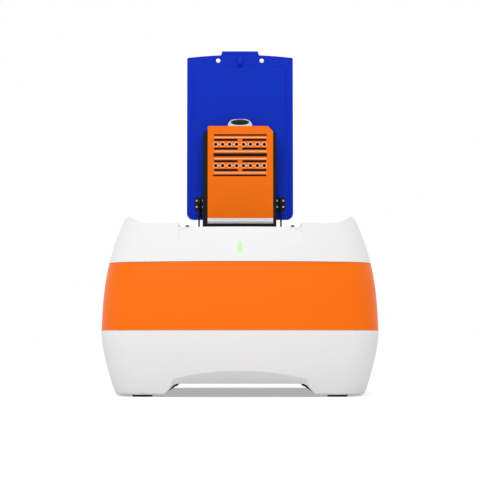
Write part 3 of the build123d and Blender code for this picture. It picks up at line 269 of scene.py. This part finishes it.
def lamp(name, colour, strength):
    """Lit diffuser with a faint grain in its glow."""
    g = material(name)
    grain = g.noise(500.0)
    glow = g.blend(grain, dimmed(colour, 0.9), colour)
    return g.surface(
        Base_Color=glow,
        Roughness=varied(0.35, 0.05, grain),
        Emission_Color=glow,
        Emission_Strength=strength,
    )


def printed(name, colour):
    """Thin ink, a little uneven."""
    g = material(name)
    wear = g.noise(900.0, detail=3.0)
    return g.surface(
        Base_Color=g.blend(wear, dimmed(colour, 0.85), colour),
        Roughness=varied(0.55, 0.1, wear),
        Specular_IOR_Level=0.2,
    )


def circuit(name):
    """Green solder mask over copper tracks."""
    g = material(name)
    inputs = {"Vector": g.place(), "Scale": 160.0, "Mortar Size": 0.012}
    tracks = g.node("ShaderNodeTexBrick", {}, inputs, "Fac")
    patches = g.noise(200.0)
    return g.surface(
        Base_Color=g.blend(tracks, (0.02, 0.10, 0.045), (0.05, 0.20, 0.09)),
        Roughness=varied(0.375, 0.075, patches),
        Normal=g.bump(tracks, 0.03 * MM),
    )


# Meshes


def as_object(name, bm, finish):
    """Object of a finished mesh, which is freed."""
    mesh = bpy.data.meshes.new(name)
    bm.to_mesh(mesh)
    bm.free()
    mesh.materials.append(finish)
    thing = bpy.data.objects.new(name, mesh)
    bpy.context.scene.collection.objects.link(thing)
    return thing


def add_piece(name, bm, body, finish, stands_for=()):
    """Link a finished mesh as a piece that rides on a body."""
    piece = as_object(name, bm, finish)
    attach(piece, body)
    if stands_for:
        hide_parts(*stands_for)


def dress(finish, *nodes):
    """Give CAD nodes their finish."""
    for node in nodes:
        slots = frame["nodes"][node].data.materials
        slots.clear()
        slots.append(finish)


def soften(bm, limit=35.0):
    """Shade faces smooth and keep edges sharper than the limit crisp."""
    for face in bm.faces:
        face.smooth = True
    for edge in bm.edges:
        edge.smooth = edge.calc_face_angle(0.0) < math.radians(limit)


def tidy(bm):
    """Merge doubles, turn all faces outwards and shade them smooth up to crisp edges."""
    bmesh.ops.remove_doubles(bm, verts=bm.verts, dist=MERGE)
    bmesh.ops.recalc_face_normals(bm, faces=bm.faces)
    soften(bm)


def turned(profile, segments):
    """Solid turned from a profile of (radius, height) points around the Z axis."""
    bm = bmesh.new()
    verts = [bm.verts.new((radius, 0.0, height)) for radius, height in profile]
    edges = [bm.edges.new(pair) for pair in zip(verts, verts[1:])]
    bmesh.ops.spin(bm, geom=verts + edges, cent=(0.0, 0.0, 0.0), axis=(0.0, 0.0, 1.0), angle=math.tau,
                   steps=segments, use_merge=True)
    tidy(bm)
    return bm


def ring_edges(verts):
    """Edges that run between the given vertices."""
    chosen = set(verts)
    edges = (edge for vert in verts for edge in vert.link_edges)
    return list(dict.fromkeys(edge for edge in edges if set(edge.verts) <= chosen))


def drawn(bm, edges, shift, scale=1.0):
    """Extrude an edge loop, move and scale its copy, and return the copy's edges."""
    made = bmesh.ops.extrude_edge_only(bm, edges=edges)["geom"]
    verts = [part for part in made if isinstance(part, bmesh.types.BMVert)]
    bmesh.ops.scale(bm, vec=(scale, scale, 1.0), verts=verts)
    bmesh.ops.translate(bm, vec=shift, verts=verts)
    return ring_edges(verts)


def socket_head(radius, height, key):
    """Cap screw head with a hexagon socket: its seat is at z = 0 and it faces up."""
    bm = bmesh.new()
    chamfer = height / 4
    socket_depth = height * 0.6
    seat = ring_edges(bmesh.ops.create_circle(bm, segments=32, radius=radius)["verts"])
    bmesh.ops.edgeloop_fill(bm, edges=seat)
    side = drawn(bm, seat, (0.0, 0.0, height - chamfer))
    brow = drawn(bm, side, (0.0, 0.0, chamfer), 1 - chamfer / radius)
    circle = bmesh.ops.create_circle(bm, segments=6, radius=key)["verts"]
    bmesh.ops.translate(bm, vec=(0.0, 0.0, height), verts=circle)
    socket = ring_edges(circle)
    bmesh.ops.bridge_loops(bm, edges=brow + socket)
    bmesh.ops.edgeloop_fill(bm, edges=drawn(bm, socket, (0.0, 0.0, -socket_depth)))
    tidy(bm)
    return bm


def around(middle, half):
    """Pair of bounds on both sides of a middle."""
    return middle - half, middle + half


def plate(across, deep, tall, bevel):
    """Box between its X, Y and Z bounds, with bevelled edges."""
    bounds = (across, deep, tall)
    middle = Matrix.Translation([(low + high) / 2 for low, high in bounds])
    size = Matrix.Diagonal([high - low for low, high in bounds] + [1.0])
    bm = bmesh.new()
    bmesh.ops.create_cube(bm, size=1.0)
    bm.transform(middle @ size)
    bmesh.ops.bevel(bm, geom=bm.edges[:], offset=bevel, segments=2, profile=0.5, affect="EDGES",
                    material=-1)
    tidy(bm)
    return bm


def gathered(parts):
    """One mesh of several, which are freed."""
    together = bmesh.new()
    for part in parts:
        copy = bpy.data.meshes.new("part")
        part.to_mesh(copy)
        part.free()
        together.from_mesh(copy)
        bpy.data.meshes.remove(copy)
    return together


def copies(make, places):
    """Copies of a part, one at each matrix."""
    parts = []
    for matrix in places:
        part = make()
        part.transform(matrix)
        parts.append(part)
    return gathered(parts)


def facing(x, y, z, turn):
    """Matrix that stands a part's Z axis along +Y (turn 1) or -Y (turn -1) at a point."""
    return Matrix.Translation((x, y, z)) @ Matrix.Rotation(-turn * math.pi / 2, 4, "X")


def joined_to(start):
    """Vertices that edges join to a first one, with that one."""
    found = {start}
    fresh = [start]
    while fresh:
        vert = fresh.pop()
        for edge in vert.link_edges:
            other = edge.other_vert(vert)
            if other not in found:
                found.add(other)
                fresh.append(other)
    return found


def painted_seam_shadow_ribbon(node, height, rise, proud):
    """Open dark ribbon around the housing's outer wall, from height up by rise, with a lip turned in; it is
    painted shade standing for the shadow inside a seam's groove.
    """
    lip_share = 0.002
    bm = bmesh.new()
    bm.from_mesh(frame["nodes"][node].data)
    bmesh.ops.remove_doubles(bm, verts=bm.verts, dist=MERGE)
    geom = bm.verts[:] + bm.edges[:] + bm.faces[:]
    bmesh.ops.bisect_plane(bm, geom=geom, plane_co=(0.0, 0.0, height), plane_no=(0.0, 0.0, 1.0),
                           clear_inner=True, clear_outer=True)
    widest = max(bm.verts, key=lambda vert: vert.co.x)
    outline = joined_to(widest)
    bmesh.ops.delete(bm, geom=[vert for vert in bm.verts if vert not in outline], context="VERTS")
    grow = 1 + proud / widest.co.x
    bmesh.ops.scale(bm, vec=(grow, grow, 1.0), verts=bm.verts)
    upper = drawn(bm, bm.edges[:], (0.0, 0.0, rise))
    drawn(bm, upper, (0.0, 0.0, 0.0), 1 - lip_share)
    bmesh.ops.recalc_face_normals(bm, faces=bm.faces)
    soften(bm)
    return bm


# Settings


class ShellSettings(bpy.types.PropertyGroup):
    """Colours of the housing and the lid, and the height of the painted shadow lines at the seams."""

    cover: bpy.props.FloatVectorProperty(
        name="Covers", description="Colour of the white covers", subtype="COLOR",
        default=(0.89, 0.89, 0.895))
    band: bpy.props.FloatVectorProperty(
        name="Band", description="Colour of the band", subtype="COLOR", default=(1.0, 0.17, 0.0))
    # The seam height sets how tall the dark ribbons are that paint the shadow in each seam's groove.
    seam: bpy.props.FloatProperty(
        name="Seam", description="Height of the shadow line at each seam", unit="LENGTH", default=0.5 * MM)
    lid: bpy.props.FloatVectorProperty(
        name="Lid", description="Colour of the lid", subtype="COLOR", default=tone(0, 47, 196))


class CartridgeSettings(bpy.types.PropertyGroup):
    """Colours and print of the cartridge."""

    plate: bpy.props.FloatVectorProperty(
        name="Plate", description="Colour of the cartridge's plate", subtype="COLOR",
        default=tone(255, 118, 0))
    ink: bpy.props.FloatVectorProperty(
        name="Print", description="Colour of the print", subtype="COLOR", default=tone(255, 232, 200))
    inner: bpy.props.FloatProperty(
        name="Ring inside", description="Inner radius of the well rings", unit="LENGTH", default=2.45 * MM)
    outer: bpy.props.FloatProperty(
        name="Ring outside", description="Outer radius of the well rings", unit="LENGTH", default=3.0 * MM)


class StageSettings(bpy.types.PropertyGroup):
    """Camera and light."""

    distance: bpy.props.FloatProperty(
        name="Distance", description="Camera distance from the footprint's middle", unit="LENGTH",
        default=2.075)
    eye: bpy.props.FloatProperty(
        name="Eye level", description="Camera height over the floor", unit="LENGTH", default=0.062)
    pitch: bpy.props.FloatProperty(
        name="Pitch", description="Upward tilt of the camera", subtype="ANGLE",
        default=math.radians(3.719))
    lens: bpy.props.FloatProperty(name="Lens", description="Focal length in millimetres", default=120.0)
    ambient: bpy.props.FloatProperty(name="Ambient", description="Strength of the even light", default=0.75)
    key: bpy.props.FloatProperty(
        name="Key", description="Power of the front light", unit="POWER", default=26.0)
    top: bpy.props.FloatProperty(
        name="Top", description="Power of the light from above", unit="POWER", default=3.0)


# Small parts


def lid_studs():
    """Polished domed studs in the lid's rim."""
    low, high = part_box("lid_catches")
    radius = (high.z - low.z) / 2
    depth = high.y - low.y
    dome = ((1.0, 0.6), (0.93, 0.35), (0.75, 0.12), (0.4, 0.02), (0.0, 0.0))
    profile = [(0.0, 0.0), (radius, 0.0)]
    profile += [(radius * share, depth - drop * MM) for share, drop in dome]
    middle = (low.z + high.z) / 2
    places = [facing(x, high.y, middle, -1) for x in (low.x + radius, high.x - radius)]
    return copies(lambda: turned(profile, 48), places)


def arm_screw_heads():
    """Socket heads of the screws in the hinge arms' flanges."""
    low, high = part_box("arm_screws")
    radius = 1.4 * MM
    height = 1.1 * MM
    key = 0.65 * MM
    column_pitch = 8.0 * MM
    columns = [high.x - radius, high.x - radius - column_pitch]
    columns += [-x for x in columns]
    rows = (low.z + radius, high.z - radius)
    places = [facing(x, low.y + height, z, -1) for x in columns for z in rows]
    return copies(lambda: socket_head(radius, height, key), places)


def panel_screw_heads():
    """Socket heads of the rear panel's corner screws."""
    low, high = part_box("panel_screws")
    radius = 3.0 * MM
    height = 1.5 * MM
    key = 1.3 * MM
    columns = (low.x + radius, high.x - radius)
    rows = (low.z + radius, high.z - radius)
    places = [facing(x, high.y - height, z, 1) for x in columns for z in rows]
    return copies(lambda: socket_head(radius, height, key), places)


def port_tongues():
    """Contact carriers inside the two upright ports and the network port, with its contacts."""
    low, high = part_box("data_ports")
    inner_end = low.y + 2.0 * MM
    edge_bevel = 0.2 * MM
    upright_places = (low.x + 3.15 * MM, low.x + 15.15 * MM)
    upright_deep = (inner_end, high.y - 1.5 * MM)
    upright_tall = around((low.z + high.z) / 2, 5.2 * MM)
    upright_left = 0.9 * MM
    upright_right = 0.5 * MM
    shelf_middle = high.x - 7.35 * MM
    shelf_deep = (inner_end, high.y - 2.0 * MM)
    shelf_tall = (low.z + 0.7 * MM, low.z + 2.6 * MM)
    contacts = 8
    contact_pitch = 1.1 * MM
    contact_half_width = 0.25 * MM
    contact_deep = (inner_end, high.y - 3.0 * MM)
    contact_tall = (low.z + 2.5 * MM, low.z + 3.1 * MM)
    contact_bevel = 0.08 * MM
    tongues = []
    for x in upright_places:
        tongues.append(plate((x - upright_left, x + upright_right), upright_deep, upright_tall, edge_bevel))
    tongues.append(plate(around(shelf_middle, 6.4 * MM), shelf_deep, shelf_tall, edge_bevel))
    for i in range(contacts):
        across = around(shelf_middle + (i - (contacts - 1) / 2) * contact_pitch, contact_half_width)
        tongues.append(plate(across, contact_deep, contact_tall, contact_bevel))
    return gathered(tongues)


def cartridge_print(inner, outer):
    """Plain pale lines, well rings and marks on the cartridge's coloured plate."""
    low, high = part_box("cartridge_label")
    ink = 0.05 * MM
    bevel = ink / 3
    deep = (low.y - ink, low.y)
    lines = (low.x + 8.4 * MM, high.x - 8.4 * MM)
    line_drops = (15.1, 33.2, 43.1, 61.7)
    line_half = 0.4 * MM
    wells = 8
    well_drops = (24.2, 52.2)
    pitch = 9.1 * MM
    row_shift = 0.45 * MM
    first = (low.x + high.x) / 2 - row_shift - (wells - 1) / 2 * pitch
    mark_half_width = 0.9 * MM
    mark_half_height = 0.45 * MM
    ring = [(inner, 0.0), (outer, 0.0), (outer, ink), (inner, ink), (inner, 0.0)]
    parts = [plate(lines, deep, around(high.z - drop * MM, line_half), bevel) for drop in line_drops]
    for drop in well_drops:
        z = high.z - drop * MM
        places = [facing(first + i * pitch, low.y, z, -1) for i in range(wells)]
        parts.append(copies(lambda: turned(ring, 32), places))
        for i in range(wells - 1):
            across = around(first + (i + 0.5) * pitch, mark_half_width)
            parts.append(plate(across, deep, around(z, mark_half_height), bevel))
    return gathered(parts)


# Operators


class ANALYZER_OT_housing(bpy.types.Operator):
    """Finish the housing's covers, band, feet and deck, and lay painted shadow lines over the seams"""

    bl_idname = "analyzer.housing"
    bl_label = "Housing"

    def execute(self, context):
        shell = context.scene.analyzer_shell
        white = moulded("cover_white", tuple(shell.cover), 0.42)
        dress(white, "upper_cover", "lower_cover", "hinge_cover")
        dress(moulded("band_orange", tuple(shell.band), 0.34, cloud=0.02, gloss=0.15), "mid_band")
        dress(moulded("deck_black", SATIN_BLACK, 0.5), "lid_switch", "bay_tub", "bearing_blocks")
        dress(rubber("foot_rubber", (0.012, 0.012, 0.012)), "feet", "lid_bumpers")
        dress(coated("pan_black", (0.018, 0.018, 0.02)), "base_pan")
        dress(lamp("light_green", (0.48, 0.92, 0.34), 0.25), "status_light")
        dress(circuit("light_board_green"), "light_board")
        dress(blasted("magnet_steel", (0.75, 0.75, 0.76), 0.3), "deck_magnets")
        low_seam, high_seam = (corner.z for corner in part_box("mid_band"))
        rise = shell.seam * 0.98
        proud_of_band = 0.06 * MM
        proud_of_cover = 0.004 * MM
        # Dark orange ribbons over both seams: painted shade standing for the shadow inside the parting
        # groove.
        shade = moulded("seam_painted_shade", (0.30, 0.045, 0.0), 0.6, gloss=0.05)
        high_shadow_ribbon = painted_seam_shadow_ribbon("mid_band", high_seam - shell.seam, rise, proud_of_band)
        low_shadow_ribbon = painted_seam_shadow_ribbon("lower_cover", low_seam - shell.seam, rise, proud_of_cover)
        add_piece("seam_high_painted_shadow", high_shadow_ribbon, "housing", shade)
        add_piece("seam_low_painted_shadow", low_shadow_ribbon, "housing", shade)
        return {"FINISHED"}


class ANALYZER_OT_lid(bpy.types.Operator):
    """Finish the lid, its liner, studs, tongue and hinge"""

    bl_idname = "analyzer.lid"
    bl_label = "Lid"

    def execute(self, context):
        blue = moulded("lid_blue", tuple(context.scene.analyzer_shell.lid), 0.38, cloud=0.06, gloss=0.1)
        dress(blue, "lid_shell", "lid_liner", "lid_tongue")
        dress(coated("arm_black", (0.008, 0.008, 0.009)), "hinge_arms")
        dress(brushed("shaft_steel", (0.7, 0.7, 0.7), 0.3, 0), "hinge_shaft", "lever_pin")
        bright = blasted("stud_steel", (0.95, 0.95, 0.96), 0.18)
        add_piece("lid_studs", lid_studs(), "lid", bright, ["lid_catches"])
        dim = blasted("arm_screw_steel", (0.5, 0.5, 0.52), 0.3)
        add_piece("arm_screw_heads", arm_screw_heads(), "lid", dim, ["arm_screws"])
        dress(blasted("clutch_aluminium", (0.75, 0.76, 0.77), 0.4), "friction_clutch")
        return {"FINISHED"}


class ANALYZER_OT_cartridge(bpy.types.Operator):
    """Finish the cartridge, its holder and the release lever"""

    bl_idname = "analyzer.cartridge"
    bl_label = "Cartridge and holder"

    def execute(self, context):
        cartridge = context.scene.analyzer_cartridge
        dress(coated("holder_black", (0.006, 0.006, 0.007)), "cartridge_holder")
        orange = moulded("label_orange", tuple(cartridge.plate), 0.4, cloud=0.03, gloss=0.12)
        dress(orange, "cartridge_label")
        dress(moulded("cartridge_black", (0.008, 0.006, 0.006), 0.45), "cartridge_body")
        dress(moulded("cartridge_white", (0.95, 0.95, 0.95), 0.35), "cartridge_foot")
        dress(rubber("seal_grey", (0.45, 0.52, 0.58)), "cartridge_seal")
        dress(brushed("lever_steel", (0.68, 0.67, 0.65), 0.25, 0), "release_lever")
        dress(rubber("pad_black", (0.01, 0.01, 0.01)), "lever_pad")
        pale = printed("print_pale", tuple(cartridge.ink))
        add_piece("cartridge_print", cartridge_print(cartridge.inner, cartridge.outer), "cartridge",
                  pale)
        return {"FINISHED"}


class ANALYZER_OT_rear(bpy.types.Operator):
    """Finish the rear panel, its connectors, the switch and the fan"""

    bl_idname = "analyzer.rear"
    bl_label = "Rear panel"

    def execute(self, context):
        dress(coated("panel_grey", (0.035, 0.037, 0.04)), "rear_panel")
        black = moulded("rear_black", SATIN_BLACK, 0.4)
        dress(black, "power_inlet", "switch_frame", "power_rocker", "fan_frame", "fan_rotor")
        steel = blasted("rear_screw_steel", (0.8, 0.8, 0.8), 0.25)
        add_piece("panel_screw_heads", panel_screw_heads(), "housing", steel,
                  ["panel_screws"])
        add_piece("port_tongues", port_tongues(), "housing", black)
        dress(brushed("port_steel", (0.75, 0.75, 0.76), 0.25, 2), "data_ports")
        dress(brushed("pin_brass", BRASS, 0.25, 1), "inlet_pins")
        return {"FINISHED"}


class ANALYZER_OT_inside(bpy.types.Operator):
    """Finish the optics, the fluid parts and the electronics inside the housing"""

    bl_idname = "analyzer.inside"
    bl_label = "Inside"

    def execute(self, context):
        dress(window("window_glass"), "read_window", "objective_lens")
        aluminium = blasted("bench_aluminium", (0.72, 0.73, 0.74), 0.4)
        dress(aluminium, "optics_bench", "scan_carriage", "laser_module", "valve_manifold")
        dress(brushed("rod_steel", (0.7, 0.7, 0.71), 0.15, 1), "guide_rods", "lead_screw")
        black = coated("inner_black", (0.02, 0.02, 0.022))
        dress(black, "scan_motor", "objective", "photodetector", "air_pump")
        dress(brushed("valve_steel", (0.6, 0.6, 0.6), 0.3, 2), "valves", "power_supply")
        dress(circuit("board_green"), "main_board")
        dress(brushed("post_brass", BRASS, 0.25, 2), "board_posts")
        return {"FINISHED"}


class ANALYZER_OT_stage(bpy.types.Operator):
    """Set the floor, the soft lights, the white surroundings and the camera"""

    bl_idname = "analyzer.stage"
    bl_label = "Stage"

    def execute(self, context):
        stage = context.scene.analyzer_stage
        add_floor()
        add_world(stage.ambient)
        add_soft_light("key", (-0.5, -2.4, 1.9), (2.6, 1.6), stage.key)
        add_soft_light("top", (0.0, 0.2, 2.6), (2.2, 2.2), stage.top)
        add_camera(stage)
        context.scene.view_settings.view_transform = "Standard"
        return {"FINISHED"}


def add_floor():
    """Wide white floor that shows its shadow to the camera."""
    half_size = 60.0
    glow = 0.42
    g = material("floor_white")
    white = g.blend(g.noise(40.0), (0.80, 0.80, 0.80), (0.82, 0.82, 0.82))
    g.surface(Base_Color=white, Roughness=0.9, Emission_Color=WHITE, Emission_Strength=glow * g.ray("Camera"),
              Specular_IOR_Level=0.0)
    bm = bmesh.new()
    bmesh.ops.create_grid(bm, x_segments=1, y_segments=1, size=half_size)
    as_object("floor", bm, g.owner)


def add_world(ambient):
    """Even light that looks white to the camera, in reflections and through glass."""
    g = Graph(bpy.data.worlds.new("studio"))
    seen = g.ray("Glossy").either(g.ray("Transmission")).either(g.ray("Camera"))
    level = ambient + (1 - ambient) * seen
    background = g.node("ShaderNodeBackground", {}, {"Color": WHITE, "Strength": level})
    g.node("ShaderNodeOutputWorld", {}, {"Surface": background})
    bpy.context.scene.world = g.owner


def add_soft_light(name, place, size, power):
    """Rectangular soft box aimed at the middle of the housing."""
    target = Vector((0.0, 0.0, 0.2))
    data = bpy.data.lights.new(name, "AREA")
    data.shape = "RECTANGLE"
    data.size, data.size_y = size
    data.energy = power
    light = bpy.data.objects.new(name, data)
    light.location = place
    light.rotation_euler = (target - Vector(place)).to_track_quat("-Z", "Y").to_euler()
    bpy.context.scene.collection.objects.link(light)


def add_camera(stage):
    """Camera in front of the instrument, low and tilted up a little."""
    full_frame_width = 36.0
    camera = bpy.data.objects.new("camera", bpy.data.cameras.new("camera"))
    camera.data.lens = stage.lens
    camera.data.sensor_width = full_frame_width
    camera.location = (0.0, -stage.distance, stage.eye)
    camera.rotation_euler = (math.radians(90) + stage.pitch, 0.0, 0.0)
    bpy.context.scene.collection.objects.link(camera)
    bpy.context.scene.camera = camera


class ANALYZER_PT_panel(bpy.types.Panel):
    """Settings and steps of the analyzer"""

    bl_label = "Analyzer"
    bl_space_type = "VIEW_3D"
    bl_region_type = "UI"
    bl_category = "Analyzer"

    def draw(self, context):
        for name, kind in SETTINGS.items():
            for key in kind.__annotations__:
                self.layout.prop(getattr(context.scene, name), key)
        for step in STEPS:
            self.layout.operator(step.bl_idname)


SETTINGS = {
    "analyzer_shell": ShellSettings,
    "analyzer_cartridge": CartridgeSettings,
    "analyzer_stage": StageSettings,
}
STEPS = (
    ANALYZER_OT_housing,
    ANALYZER_OT_lid,
    ANALYZER_OT_cartridge,
    ANALYZER_OT_rear,
    ANALYZER_OT_inside,
    ANALYZER_OT_stage,
)
CLASSES = (*SETTINGS.values(), *STEPS, ANALYZER_PT_panel)


def register():
    """Add the settings, the steps and the panel."""
    for kind in CLASSES:
        bpy.utils.register_class(kind)
    for name, kind in SETTINGS.items():
        setattr(bpy.types.Scene, name, bpy.props.PointerProperty(type=kind))


def unregister():
    """Take them away again."""
    for name in SETTINGS:
        delattr(bpy.types.Scene, name)
    for kind in reversed(CLASSES):
        bpy.utils.unregister_class(kind)


def main():
    """Run every step."""
    register()
    bpy.ops.analyzer.housing()
    bpy.ops.analyzer.lid()
    bpy.ops.analyzer.cartridge()
    bpy.ops.analyzer.rear()
    bpy.ops.analyzer.inside()
    bpy.ops.analyzer.stage()


if __name__ == "__main__":
    main()
